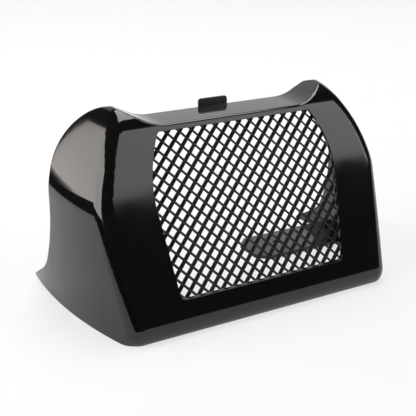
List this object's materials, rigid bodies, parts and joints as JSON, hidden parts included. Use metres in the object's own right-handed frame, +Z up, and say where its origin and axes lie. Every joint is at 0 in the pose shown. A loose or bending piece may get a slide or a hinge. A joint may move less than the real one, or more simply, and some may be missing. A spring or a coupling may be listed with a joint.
{
  "type": "motorbike oil cooler cover",
  "caption": "Gloss black moulded cover for a motorbike oil cooler, with swept wings, raised ears, a top flange with a small clip and a diamond mesh screen in its sloping front.",
  "frame": {"origin": "middle of the base: under the centre of the bounding box, on the plane of the lower edges", "axes": "X across the cover, -Y out of its mesh front, +Y to the open rear, +Z up"},
  "size_m": [0.2188, 0.1248, 0.1258],
  "materials": {
    "gloss_black": "high gloss",
    "mesh_black": "satin",
    "clip_black": "satin"
  },
  "bodies": {
    "root": {"cover_shell": "gloss_black", "mesh_screen": "mesh_black", "top_clip": "clip_black"}
  },
  "joints": []
}
